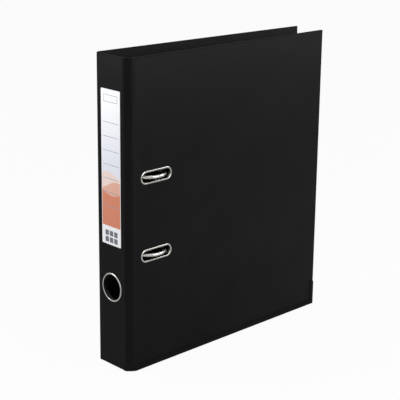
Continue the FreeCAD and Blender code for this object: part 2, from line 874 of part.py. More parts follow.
def arch_wire():
    """Both arches, their shaft and the crank between them, bent from one wire.

    Its path turns in all three directions, so it is a sweep along arcs and runs that are
    worked out here from the sheet's numbers.
    """
    thickness = sheet.wire / 2
    x, height = sheet.hinge_x, sheet.hinge_height
    far = x + sheet.arch_span
    crown = sheet.arch_height - thickness
    row = sheet.slot_pitch / 2
    tip = tip_height().number
    drop = math.radians(sheet.crank_drop)
    crank_x = x + sheet.crank_length * math.cos(drop)
    crank_height = height - sheet.crank_length * math.sin(drop)
    cone = thickness - sheet.tip_land
    spots = [
        (far, tip + cone, row),
        (far, crown, row),
        (x, crown, row),
        (x, height, row),
        (x, height, sheet.crank_half),
        (crank_x, crank_height, sheet.crank_half),
    ]
    bends = [sheet.arch_span / 2] * 2 + [sheet.foot_bend] + [sheet.crank_bend] * 2
    corners = [FreeCAD.Vector(*spot) for spot in spots]
    corners += [FreeCAD.Vector(a, b, -c) for a, b, c in reversed(spots)]
    path = rounded_path(corners, bends + bends[::-1])
    end = corners[0]
    upward = FreeCAD.Vector(0, 1, 0)
    section = Part.Wire(Part.makeCircle(thickness, end, upward))
    wire = path.makePipeShell([section], True, False)
    for side in (1, -1):
        start = FreeCAD.Vector(far, tip, row * side)
        wire = wire.fuse(Part.makeCone(sheet.tip_land, thickness, cone, start, upward))
    feature = doc.addObject("Part::Feature", "arch_wire")
    feature.Label = "arch_wire"
    feature.Shape = wire
    place_in_mechanism(feature, 0, 0, 0)
    return feature


def lever():
    """A stamped channel, open towards the plate, with a wide rolled finger plate at its tip.

    Drawn along x from its pin, with y from its back towards the plate.
    """
    body = new_body("lever")
    back, width = size("lever_back"), size("lever_width")
    sheet_wall = size("lever_sheet")
    roller_x, roller_y = roller_spot()
    boss, roller_boss = size("pivot_boss"), size("roller_boss")
    slope = size("rim_angle")
    sketch = new_sketch(body, "XY_Plane")
    polygon(
        sketch,
        [
            (-size("side_start"), -back),
            ("side_end", -back),
            ("side_end", -(back - sheet_wall)),
            ("side_bend", boss),
            (roller_x + roller_boss * cosine(slope), roller_y + roller_boss * sine(slope)),
            (roller_x - roller_boss, roller_y),
            (-size("side_heel"), 0),
            (-boss, -size("side_start")),
        ],
    )
    pad(body, sketch, width, both_ways=True)
    for x, y, radius in ((0, 0, boss), (roller_x, roller_y, roller_boss)):
        sketch = new_sketch(body, "XY_Plane")
        circle(sketch, x, y, radius)
        pad(body, sketch, width, both_ways=True)
    sketch = new_sketch(body, "XY_Plane")
    inner = -(back - sheet_wall)
    rectangle(sketch, -size("lever_length"), "lever_length", inner, "lever_length")
    pocket_both_ways(body, sketch, width - sheet_wall * 2)
    finger_plate(body, inner)
    sketch = new_sketch(body, "XY_Plane")
    circle(sketch, 0, 0, size("pin_radius") + "running")
    circle(sketch, roller_x, roller_y, "pin_radius")
    pocket_through(body, sketch)
    place_in_mechanism(body, PIN_X, PIN_HEIGHT, 0, "lever_angle")
    return body


def finger_plate(body, inner):
    """The lever's back widens into a plate with round shoulders and a rolled end."""
    half, curl = size("grip_width") / 2, size("grip_curl")
    end = size("lever_length") - curl
    start = size("grip_start")
    narrow = size("lever_width") / 2
    shoulder = start + (half - narrow) * 2
    sketch = new_sketch(body, "XZ_Plane", -inner)
    polygon(
        sketch,
        [
            (start, -narrow),
            (shoulder, -half),
            (end, -half),
            (end, half),
            (shoulder, half),
            (start, narrow),
        ],
    )
    pad(body, sketch, "lever_sheet")
    sketch = new_sketch(body, "XY_Plane")
    circle(sketch, end, inner - curl, curl)
    pad(body, sketch, size("grip_width") - curl * 2, both_ways=True)


def roller_spot():
    lead, arm = size("roller_angle"), size("roller_arm")
    return cosine(lead) * arm, sine(lead) * arm


def lever_pin():
    """The lever's axle: tight in the ears, with a head at each end."""
    body = new_body("lever_pin")
    shank = EAR_OUTER * 2
    sketch = new_sketch(body, "XY_Plane")
    circle(sketch, 0, 0, "pin_radius")
    pad(body, sketch, shank, both_ways=True)
    for start in (EAR_OUTER, -(EAR_OUTER + "pin_head_height")):
        sketch = new_sketch(body, "XY_Plane", start)
        circle(sketch, 0, 0, "pin_head")
        pad(body, sketch, "pin_head_height")
    place_in_mechanism(body, PIN_X, PIN_HEIGHT, 0)
    return body


def roller_place(item):
    """The roller's axis, carried round the lever pin by the closed lever."""
    angle = size("lever_angle") + "roller_angle"
    x = PIN_X + cosine(angle) * "roller_arm"
    height = PIN_HEIGHT + sine(angle) * "roller_arm"
    place_in_mechanism(item, x, height, 0)


def lever_roller():
    body = new_body("lever_roller")
    length = size("lever_width") - size("lever_sheet") * 2 - size("roller_side_gap") * 2
    sketch = new_sketch(body, "XY_Plane")
    circle(sketch, 0, 0, "roller_radius")
    circle(sketch, 0, 0, size("pin_radius") + "running")
    pad(body, sketch, length, both_ways=True)
    roller_place(body)
    return body


def roller_pin():
    body = new_body("roller_pin")
    width, head = size("lever_width"), size("roller_pin_head")
    sketch = new_sketch(body, "XY_Plane")
    circle(sketch, 0, 0, "pin_radius")
    pad(body, sketch, width, both_ways=True)
    for start in (width / 2, -(width / 2 + head)):
        sketch = new_sketch(body, "XY_Plane", start)
        circle(sketch, 0, 0, "roller_boss")
        pad(body, sketch, head)
    roller_place(body)
    return body


def compressor_bar():
    """A pressed bar with folded edges that slides on the posts and holds the sheets down."""
    body = new_body("compressor_bar")
    left, height = size("bar_start"), size("bar_rest")
    right = left + "bar_width"
    sheet_wall, rim = size("bar_sheet"), size("bar_rim")
    sketch = new_sketch(body, "XY_Plane")
    top, floor = height + rim, height + sheet_wall
    polygon(
        sketch,
        [
            (left, height),
            (right, height),
            (right, top),
            (right - sheet_wall, top),
            (right - sheet_wall, floor),
            (left + sheet_wall, floor),
            (left + sheet_wall, top),
            (left, top),
        ],
    )
    pad(body, sketch, "bar_length", both_ways=True)
    sketch = new_sketch(body, "XZ_Plane")
    notch = size("bar_notch_half")
    deep = left + "bar_notch"
    slope = size("bar_notch")
    polygon(
        sketch,
        [
            (left - OVERCUT, -notch),
            (left, -notch),
            (deep, -(notch - slope)),
            (deep, notch - slope),
            (left, notch),
            (left - OVERCUT, notch),
        ],
    )
    for z in POST_ROW:
        circle(sketch, POST_X, z, "bush_radius")
    pocket_through(body, sketch)
    chamfered_ends(body, left, right)
    place_in_mechanism(body, 0, 0, 0)
    return body


def chamfered_ends(body, left, right):
    """Cut the bar's four corners, a quarter of its width each."""
    cut = (right - left) / 4
    end = size("bar_length") / 2
    sketch = new_sketch(body, "XZ_Plane")
    for x, inward in ((left, 1), (right, -1)):
        for sign in (1, -1):
            polygon(
                sketch,
                [
                    (x - inward * OVERCUT, (end + OVERCUT) * sign),
                    (x - inward * OVERCUT, (end - cut - OVERCUT) * sign),
                    (x + (cut + OVERCUT) * inward, (end + OVERCUT) * sign),
                ],
            )
    pocket_through(body, sketch)


def compressor_bushes():
    """Two flanged plastic bushes, pressed into the bar, that run on the posts."""
    bushes = []
    bore = size("post_radius") + "running"
    floor = size("bar_rest")
    above = floor + "bar_sheet"
    for index, along in enumerate(POST_ROW):
        bush = doc.addObject("PartDesign::Body", f"bush_{index + 1}")
        sketch = new_sketch(bush, "XY_Plane")
        polygon(
            sketch,
            [
                (bore, floor),
                ("bush_radius", floor),
                ("bush_radius", above),
                ("bush_flange", above),
                ("bush_flange", above + "bush_flange_height"),
                ("bush_radius", above + "bush_flange_height"),
                ("bush_radius", above + "bush_height"),
                (bore, above + "bush_height"),
            ],
        )
        revolve(bush, sketch, "Y_Axis")
        place_in_mechanism(bush, POST_X, 0, along)
        bushes.append(bush)
    return group("compressor_bushes", bushes)


# ---------------------------------------------------------------------------------------------
# The whole file


def build():
    """Every sub-part, in the order of assembly."""
    pieces = []
    for side, name in ((BACK, "back"), (FRONT, "front")):
        pieces.append(cover_board(side, f"{name}_board"))
        pieces.append(cover_film(side, f"{name}_film"))
        pieces.append(cover_lining(side, f"{name}_lining"))
        pieces.append(edge_guard(side, f"{name}_edge_guard"))
        pieces.append(fold_strip(side, f"{name}_fold_strip"))
    pieces += [spine_board(), spine_film(), spine_lining(), spine_label()]
    pieces += [finger_ring(), ring_washer()]
    for height, name in zip(SLOT_HEIGHTS, ("upper", "lower")):
        pieces.append(slot_eyelet(height, f"slot_eyelet_{name}"))
    pieces += [base_plate(), plate_rivets(), arch_wire()]
    for along, name in zip(POST_ROW, ("upper", "lower")):
        pieces.append(post(along, f"post_{name}"))
    pieces += [lever(), lever_pin(), lever_roller(), roller_pin()]
    pieces += [compressor_bar(), compressor_bushes()]
    return pieces


def check_and_write(pieces):
    """Stop on any failed object or bad solid, then write one STEP file for each piece."""
    doc.recompute()
    for item in doc.Objects:
        if {"Invalid", "Error"} & set(item.State):
            raise RuntimeError(f"{item.Label} did not compute: {item.State}")
    for piece in pieces:
        shape = piece.Shape
        if shape.isNull() or not shape.isValid() or not shape.Solids:
            raise RuntimeError(f"{piece.Label} is not a valid solid")
        print(f"{piece.Label:22s} {len(shape.Solids)} solid(s) {shape.Volume:12.2f} mm3")
    os.makedirs("parts", exist_ok=True)
    for piece in pieces:
        piece.Shape.exportStep(f"parts/{piece.Label}.step")


check_and_write(build())
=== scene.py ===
"""An A4 lever arch file with a 50 mm spine, standing closed: its finishes, wraps and studio.

Sizes are in millimetres and become metres through MM. The frame's X runs from the spine to
the fore-edge, Y from the front cover to the back cover, and Z up the file's height.
"""

import json
import logging
import math
from abc import ABC, abstractmethod
from collections.abc import Callable, Iterator
from contextlib import contextmanager
from dataclasses import dataclass, field
from enum import Enum

import bmesh
import bpy
from mathutils import Euler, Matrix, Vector


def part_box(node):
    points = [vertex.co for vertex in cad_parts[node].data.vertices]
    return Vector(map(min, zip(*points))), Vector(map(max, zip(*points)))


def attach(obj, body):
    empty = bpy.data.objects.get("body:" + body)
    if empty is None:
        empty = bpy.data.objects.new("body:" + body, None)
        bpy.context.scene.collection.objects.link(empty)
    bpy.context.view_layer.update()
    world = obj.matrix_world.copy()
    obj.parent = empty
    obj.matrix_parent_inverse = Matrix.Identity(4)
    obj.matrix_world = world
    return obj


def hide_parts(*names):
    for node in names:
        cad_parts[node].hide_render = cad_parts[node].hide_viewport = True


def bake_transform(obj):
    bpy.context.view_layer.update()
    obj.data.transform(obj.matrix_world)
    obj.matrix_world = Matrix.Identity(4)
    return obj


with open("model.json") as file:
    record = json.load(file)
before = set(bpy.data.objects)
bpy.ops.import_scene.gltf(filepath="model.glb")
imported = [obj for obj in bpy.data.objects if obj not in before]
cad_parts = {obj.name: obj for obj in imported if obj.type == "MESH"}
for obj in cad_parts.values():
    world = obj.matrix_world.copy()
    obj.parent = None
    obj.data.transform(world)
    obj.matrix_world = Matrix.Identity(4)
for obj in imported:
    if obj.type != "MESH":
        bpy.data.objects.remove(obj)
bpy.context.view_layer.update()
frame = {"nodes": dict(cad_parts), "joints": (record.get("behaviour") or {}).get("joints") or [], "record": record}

MM = 0.001
LOG = logging.getLogger("lever_arch_file")

Socket = bpy.types.NodeSocket
Tree = bpy.types.NodeTree
Piece = bpy.types.Object
# The sockets that a Mix node has for colours, by number.
MIX_FACTOR, MIX_A, MIX_B, MIX_OUT = 0, 6, 7, 2
# Nearly all values of a noise lie between these two.
NOISE_LOW, NOISE_HIGH = 0.3, 0.7
# An edge runs along an axis when more than this share of its length does.
ALONG = 0.9
# Vertices nearer to each other than the first are merged, and a step under the second is left out.
MERGE, SHORTEST = 0.01 * MM, 0.001 * MM
# A cutter is this many walls long, so that it passes right through.
CUTTER_WALLS = 8
SLOT_EYELETS = ("slot_eyelet_upper", "slot_eyelet_lower")


class Side(Enum):
    """The two covers: the sign is the way from the cover's outer face into the file, along Y."""

    FRONT = 1
    BACK = -1

    @property
    def word(self) -> str:
        """The side's word in the names of nodes and bodies."""
        return self.name.lower()


class Slot(Enum):
    """The record's material slots."""

    BOARD = "greyboard"
    FILM = "black_film"
    FOLD = "fold_film"
    LINING = "black_lining"
    LABEL = "label_paper"
    BRIGHT = "bright_metal"
    PLATED = "plated_steel"
    GUARD = "black_steel"
    NYLON = "black_nylon"


# ---- Working on meshes ----


def pick(piece: Piece) -> None:
    """Selects one piece alone and makes it the active one.

    Args:
        piece: the object to pick.
    """
    bpy.ops.object.select_all(action="DESELECT")
    piece.select_set(True)
    bpy.context.view_layer.objects.active = piece


@contextmanager
def editing(piece: Piece, whole: bool = True) -> Iterator[bmesh.types.BMesh]:
    """Opens a piece in edit mode and closes it again.

    Args:
        piece: the mesh object to work on.
        whole: whether all of it is selected. If not, nothing is, and edges can be.

    Returns:
        The piece's mesh while it is open.
    """
    pick(piece)
    bpy.ops.object.mode_set(mode="EDIT")
    bpy.ops.mesh.select_mode(type="VERT" if whole else "EDGE")
    bpy.ops.mesh.select_all(action="SELECT" if whole else "DESELECT")
    yield bmesh.from_edit_mesh(piece.data)
    bpy.ops.object.mode_set(mode="OBJECT")


def round_edges(
    piece: Piece, wanted: Callable[[bmesh.types.BMEdge], bool], radius: float, segments: int
) -> None:
    """Rounds the edges of a piece that pass a test.

    Args:
        piece: the mesh object to shape.
        wanted: says whether an edge is to be rounded.
        radius: the rounded edge's radius in metres.
        segments: faces across the rounded edge.
    """
    with editing(piece, whole=False) as mesh:
        for edge in mesh.edges:
            if wanted(edge):
                edge.select_set(True)
        bpy.ops.mesh.bevel(offset=radius, segments=segments, affect="EDGES")


def runs_along(edge: bmesh.types.BMEdge, axis: int) -> bool:
    """Says whether an edge runs along the frame's X, Y or Z, given as 0, 1 or 2."""
    step = edge.verts[1].co - edge.verts[0].co
    return abs(step[axis]) > ALONG * step.length


def fix_place(piece: Piece) -> None:
    """Moves a piece's place, turn and size into its mesh, which leaves its object at the origin."""
    pick(piece)
    bpy.ops.object.transform_apply(location=True, rotation=True, scale=True)


def settle(name: str) -> Piece:
    """Names the newest object and moves its place, turn and size into its mesh.

    Args:
        name: the piece's name.

    Returns:
        The piece, with its object at the origin.
    """
    piece = bpy.context.object
    piece.name = name
    piece.data.name = name
    fix_place(piece)
    return piece


def modify(piece: Piece, kind: str, **settings: object) -> None:
    """Adds a modifier with its settings and applies it.

    Args:
        piece: the mesh object to shape.
        kind: the modifier's type, such as BEVEL.
        settings: its properties by name.
    """
    pick(piece)
    modifier = piece.modifiers.new(kind.lower(), kind)
    for name, value in settings.items():
        setattr(modifier, name, value)
    bpy.ops.object.modifier_apply(modifier=modifier.name)


def cut(piece: Piece, cutter: Piece) -> None:
    """Takes the cutter's shape out of a piece and removes the cutter."""
    modify(piece, "BOOLEAN", operation="DIFFERENCE", solver="EXACT", object=cutter)
    bpy.data.objects.remove(cutter)


def smooth(piece: Piece, degrees: float = 35) -> None:
    """Shades a piece smooth, except at edges sharper than an angle."""
    pick(piece)
    bpy.ops.object.shade_smooth_by_angle(angle=math.radians(degrees))


def tidy_normals(piece: Piece) -> None:
    """Merges doubled vertices and turns all faces outwards.

    Args:
        piece: the closed mesh to put right.
    """
    with editing(piece):
        bpy.ops.mesh.remove_doubles(threshold=MERGE)
        bpy.ops.mesh.normals_make_consistent(inside=False)


def slab(name: str, low: Vector, high: Vector) -> Piece:
    """A plain box between two corners, as a start for a piece.

    Args:
        name: the piece's name.
        low: its lowest corner.
        high: its highest corner.

    Returns:
        The box, with its place in its mesh.
    """
    bpy.ops.mesh.primitive_cube_add(size=1, location=(low + high) / 2, scale=high - low)
    return settle(name)


def trace(name: str, corners: list[tuple[Vector, float]], steps: int = 6) -> Piece:
    """Draws a closed outline: straight runs, with a round arc at each corner that has a radius.

    Args:
        name: the piece's name.
        corners: the outline's corners in order, level with each other, with their radii.
        steps: edges in each arc.

    Returns:
        A piece that is a closed loop of edges.
    """
    bpy.ops.mesh.primitive_plane_add(size=MM, location=corners[0][0])
    piece = settle(name)
    with editing(piece):
        bpy.ops.mesh.merge(type="CENTER")
        rounds = corners[-1:] + corners + corners[:1]
        here = None
        for (before, _), (corner, radius), (after, _) in zip(rounds, rounds[1:], rounds[2:]):
            back, ahead = (before - corner).normalized(), (after - corner).normalized()
            half = back.angle(ahead) / 2
            start = corner + back * (radius / math.tan(half))
            if here is None:
                bpy.ops.transform.translate(value=start - corner)
                outset = start
            else:
                draw_to(start - here)
            here = start
            if radius:
                middle = corner + (back + ahead).normalized() * (radius / math.sin(half))
                turn = math.copysign(math.pi - 2 * half, ahead.cross(back).z)
                sweep_round(middle, Vector((0, 0, 1)), turn, steps)
                here = corner + ahead * (radius / math.tan(half))
        draw_to(outset - here)
        bpy.ops.mesh.select_all(action="SELECT")
        bpy.ops.mesh.remove_doubles(threshold=MERGE)
    return piece


def draw_to(step: Vector) -> None:
    """Extrudes what is selected by a step."""
    if step.length > SHORTEST:
        bpy.ops.mesh.extrude_region_move(TRANSFORM_OT_translate={"value": step})


def sweep_round(centre: Vector, axis: Vector, turn: float, steps: int) -> None:
    """Sweeps what is selected round an axis. The operator's own angle runs clockwise.

    Args:
        centre: a point on the axis.
        axis: the axis's direction.
        turn: the angle in radians, counter-clockwise as seen against the axis.
        steps: how many copies the sweep makes.
    """
    bpy.ops.mesh.spin(steps=steps, angle=-turn, center=centre, axis=axis)


def raise_outline(piece: Piece, height: float) -> None:
    """Fills a traced outline and raises it along Z into a solid.

    Args:
        piece: the closed loop of edges.
        height: how far up the solid goes, in metres.
    """
    with editing(piece):
        bpy.ops.mesh.edge_face_add()
        draw_to(Vector((0, 0, height)))
    tidy_normals(piece)


def hand_over(piece: Piece, finish: "Finish", body: str | None) -> Piece:
    """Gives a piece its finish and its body.

    Args:
        piece: the finished mesh.
        finish: what it is made of.
        body: the body it rides on, or None when it bends between two.

    Returns:
        The same piece.
    """
    piece.data.materials.clear()
    piece.data.materials.append(finish.material())
    if body:
        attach(piece, body)
    return piece


class SubAssembly(ABC):
    """A part of the file that models its own pieces and dresses them."""

    @abstractmethod
    def build(self) -> list[Piece]:
        """Models the pieces, dresses them and hands them over.

        Returns:
            The finished pieces.
        """


# ---- Finishes ----


def linear(colour: str) -> tuple[float, float, float, float]:
    """Turns an sRGB hex colour into the linear values that a socket takes.

    Args:
        colour: the colour, such as #1c1c1c.

    Returns:
        Red, green, blue and an alpha of 1.
    """
    parts = [int(colour[i : i + 2], 16) / 255 for i in (1, 3, 5)]
    red, green, blue = (
        part / 12.92 if part <= 0.04045 else ((part + 0.055) / 1.055) ** 2.4 for part in parts
    )
    return red, green, blue, 1.0


def add_node(
    tree: Tree,
    kind: str,
    inputs: dict[str | int, object] | None = None,
    **settings: object,
) -> bpy.types.Node:
    """Adds a shader node with its settings and links.

    Args:
        tree: the node tree that takes it.
        kind: the node's type without its ShaderNode prefix.
        inputs: values or output sockets for its inputs, by input name or number.
        settings: its properties by name.

    Returns:
        The new node.
    """
    node = tree.nodes.new("ShaderNode" + kind)
    for name, value in settings.items():
        setattr(node, name, value)
    for key, value in (inputs or {}).items():
        if isinstance(value, Socket):
            tree.links.new(value, node.inputs[key])
        else:
            node.inputs[key].default_value = value
    return node


def blank_tree(owner: bpy.types.Material | bpy.types.World) -> Tree:
    """Gives a material or a world an empty node tree.

    Args:
        owner: the new material or world.

    Returns:
        Its node tree.
    """
    owner.use_nodes = True
    owner.node_tree.nodes.clear()
    return owner.node_tree


@dataclass(frozen=True)
class Finish:
    """A material and how its surface was made. Each kind of surface adds its own pattern."""

    name: str
    colour: str
    roughness: float
    metallic: float = 0.0
    specular: float = 0.5

    def material(self) -> bpy.types.Material:
        """Makes the finish's material once, for all pieces that have it.

        Returns:
            The material.
        """
        known = bpy.data.materials.get(self.name)
        if known:
            return known
        made = bpy.data.materials.new(self.name)
        tree = blank_tree(made)
        place = add_node(tree, "TexCoord").outputs["Object"]
        shader = add_node(
            tree,
            "BsdfPrincipled",
            {
                "Base Color": linear(self.colour),
                "Roughness": self.roughness,
                "Metallic": self.metallic,
                "Specular IOR Level": self.specular,
            },
        )
        for key, socket in self.pattern(tree, place).items():
            tree.links.new(socket, shader.inputs[key])
        add_node(tree, "OutputMaterial", {"Surface": shader.outputs[0]})
        return made

    def pattern(self, tree: Tree, place: Socket) -> dict[str, Socket]:
        """Adds the surface's own nodes.

        Args:
            tree: the material's node tree.
            place: where the shaded point is, in the file's frame.

        Returns:
            Sockets for the shader's inputs, by input name.
        """
        return {}


def patches(
    tree: Tree, place: Socket, size: float, detail: float = 3, low: float = 0.0, high: float = 1.0
) -> Socket:
    """Soft random patches, with the middle of their range stretched from low to high.

    Args:
        tree: the material's node tree.
        place: where the shaded point is.
        size: how wide a patch is, in metres.
        detail: how many finer layers it has.
        low: what a low patch's value is.
        high: what a high patch's value is.

    Returns:
        The patches' value.
    """
    noise = add_node(tree, "TexNoise", {"Vector": place, "Scale": 1 / size, "Detail": detail})
    stretch = {"From Min": NOISE_LOW, "From Max": NOISE_HIGH, "To Min": low, "To Max": high}
    return add_node(tree, "MapRange", {"Value": noise.outputs[0], **stretch}).outputs[0]


def paint(tree: Tree, ground: str | Socket, *coats: tuple[Socket, str | Socket]) -> Socket:
    """Lays coats of colour over a ground, each where and as far as its mark says.

    Args:
        tree: the material's node tree.
        ground: the hex colour or colour socket below the coats.
        coats: each coat's mark, from 0 to 1, and its hex colour or colour socket, lowest first.

    Returns:
        The painted colour.
    """
    for mark, coat in coats:
        tones = [linear(tone) if isinstance(tone, str) else tone for tone in (ground, coat)]
        inputs = {MIX_FACTOR: mark, MIX_A: tones[0], MIX_B: tones[1]}
        ground = add_node(tree, "Mix", inputs, data_type="RGBA").outputs[MIX_OUT]
    return ground


def field_mark(tree: Tree, *bands: tuple[Socket, float, float]) -> Socket:
    """Marks a field: 1 where every band's value is near its middle, and 0 elsewhere.

    Args:
        tree: the material's node tree.
        bands: each band's value, its middle and half of its width.

    Returns:
        The mark.
    """
    mark: float | Socket = 1.0
    for value, middle, half in bands:
        inputs = {0: value, 1: middle, 2: half}
        band = add_node(tree, "Math", inputs, operation="COMPARE").outputs[0]
        mark = add_node(tree, "Math", {0: band, 1: mark}, operation="MULTIPLY").outputs[0]
    return mark


@dataclass(frozen=True)
class EmbossedFilm(Finish):
    """Polypropylene film, embossed with a fine grain and laminated to board.

    The grain breaks up reflections, so the black looks even and satin, and rubbed places are a
    little smoother. The real pebbles are about 0.3 mm: drawn wider, so that they show.
    """

    rubbed: str = "#141415"
    # Lighter colour on the scuffed ends: partly wear, partly a painted highlight on the rounded edge.
    worn: str = "#1c1c1d"
    valley: str = "#09090a"
    grain: float = 0.9 * MM
    grain_depth: float = 0.06 * MM
    grain_scatter: float = 0.9
    valley_range: tuple[float, float] = (0.3, 0.7)
    valley_share: float = 0.7
    rub: float = 45 * MM
    rub_polish: float = 0.06
    scuff: float = 6 * MM
    scuff_share: float = 0.9
    worn_rim: float = 1.2 * MM
    rim_dulling: float = 0.4

    def rim_mark(self, tree: Tree, place: Socket) -> Socket:
        """Marks the film's rounded upper and lower ends, where hands and shelves rub it and where a painted
        highlight is laid.

        Args:
            tree: the material's node tree.
            place: where the shaded point is.

        Returns:
            The mark.
        """
        height = add_node(tree, "SeparateXYZ", {0: place}).outputs[2]
        low, high = (end.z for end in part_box("back_film"))
        off_middle = {0: height, 1: (low + high) / 2}
        reach = add_node(tree, "Math", off_middle, operation="SUBTRACT").outputs[0]
        span = add_node(tree, "Math", {0: reach}, operation="ABSOLUTE").outputs[0]
        return field_mark(tree, (span, (high - low) / 2, self.worn_rim))

    def pattern(self, tree: Tree, place: Socket) -> dict[str, Socket]:
        """Fine pebbled grain, wide patches that are rubbed smoother, and lighter scuffs along the ends that are
        partly wear and partly a painted highlight.

        Args:
            tree: the material's node tree.
            place: where the shaded point is.

        Returns:
            Sockets for the shader's inputs, by input name.
        """
        rubs = patches(tree, place, self.rub)
        grain = {"Vector": place, "Scale": 1 / self.grain, "Randomness": self.grain_scatter}
        pebbles = add_node(tree, "TexVoronoi", grain, feature="SMOOTH_F1").outputs["Distance"]
        first, last = self.valley_range
        stretch = {"From Min": first, "From Max": last, "To Max": self.valley_share}
        valleys = add_node(tree, "MapRange", {"Value": pebbles, **stretch}).outputs[0]
        rim = self.rim_mark(tree, place)
        scuffs = patches(tree, place, self.scuff, detail=5, high=self.scuff_share)
        # The scuffed ends are painted lighter: partly wear, partly a painted highlight.
        worn = add_node(tree, "Math", {0: rim, 1: scuffs}, operation="MULTIPLY").outputs[0]
        polish = {0: rubs, 1: -self.rub_polish, 2: self.roughness + self.rub_polish / 2}
        gloss = add_node(tree, "Math", polish, operation="MULTIPLY_ADD").outputs[0]
        dulled = {0: rim, 1: self.rim_dulling, 2: gloss}
        bump = {"Height": pebbles, "Distance": self.grain_depth}
        coats = (rubs, self.rubbed), (valleys, self.valley), (worn, self.worn)
        return {
            "Base Color": paint(tree, self.colour, *coats),
            "Roughness": add_node(tree, "Math", dulled, operation="MULTIPLY_ADD").outputs[0],
            "Normal": add_node(tree, "Bump", bump).outputs[0],
        }


@dataclass(frozen=True)
class PressedPaper(Finish):
    """Paper or board: short fibres, a little uneven in tone, with no gloss."""

    fibre_tone: str = "#252526"
    fibre: float = 1.6 * MM
    depth: float = 0.008 * MM
    ripple: float = 22 * MM
    ripple_depth: float = 0.0

    def pattern(self, tree: Tree, place: Socket) -> dict[str, Socket]:
        """Cloudy tone from the pulp, short fibres in relief and the ripples of glued paper.

        Args:
            tree: the material's node tree.
            place: where the shaded point is.

        Returns:
            Sockets for the shader's inputs, by input name.
        """
        fibres = patches(tree, place, self.fibre, detail=6)
        bump = {"Height": fibres, "Distance": self.depth}
        if self.ripple_depth:
            ripples = patches(tree, place, self.ripple, detail=2)
            waves = {"Height": ripples, "Distance": self.ripple_depth}
            bump["Normal"] = add_node(tree, "Bump", waves).outputs[0]
        return {
            "Base Color": paint(tree, self.colour, (fibres, self.fibre_tone)),
            "Normal": add_node(tree, "Bump", bump).outputs[0],
        }


@dataclass(frozen=True)
class PlatedMetal(Finish):
    """Plated steel: a bright even coat that takes fine rubs and a faint haze from handling."""

    rub_tone: str = "#a9a9a6"
    rub: float = 0.7 * MM
    rub_depth: float = 0.0008 * MM
    rub_share: float = 0.35
    cloud: float = 9 * MM
    haze: float = 0.1

    def pattern(self, tree: Tree, place: Socket) -> dict[str, Socket]:
        """Hazy patches, and short fine rubs that dull the coat.

        Args:
            tree: the material's node tree.
            place: where the shaded point is.

        Returns:
            Sockets for the shader's inputs, by input name.
        """
        rubs = patches(tree, place, self.rub, detail=5)
        share = add_node(tree, "Math", {0: rubs, 1: self.rub_share}, operation="MULTIPLY").outputs[0]
        bump = {"Height": rubs, "Distance": self.rub_depth}
        ends = {"low": self.roughness, "high": self.roughness + self.haze}
        return {
            "Base Color": paint(tree, self.colour, (share, self.rub_tone)),
            "Roughness": patches(tree, place, self.cloud, **ends),
            "Normal": add_node(tree, "Bump", bump).outputs[0],
        }


@dataclass(frozen=True)
class BakedEnamel(Finish):
    """A smooth black coat or moulding with a slight orange-peel waviness."""

    peel: float = 1.2 * MM
    peel_depth: float = 0.004 * MM

    def pattern(self, tree: Tree, place: Socket) -> dict[str, Socket]:
        """The waviness that the enamel dries with."""
        bump = {"Height": patches(tree, place, self.peel, detail=1), "Distance": self.peel_depth}
        return {"Normal": add_node(tree, "Bump", bump).outputs[0]}


@dataclass(frozen=True)
class Wave:
    """One printed wave: its middle height, its rise, its phase in radians and its colour."""

    height: float
    rise: float
    phase: float
    colour: str


@dataclass(frozen=True)
class Spot:
    """The shaded point on the label: its place across from the middle, and its height."""

    tree: Tree
    across: Socket
    up: Socket


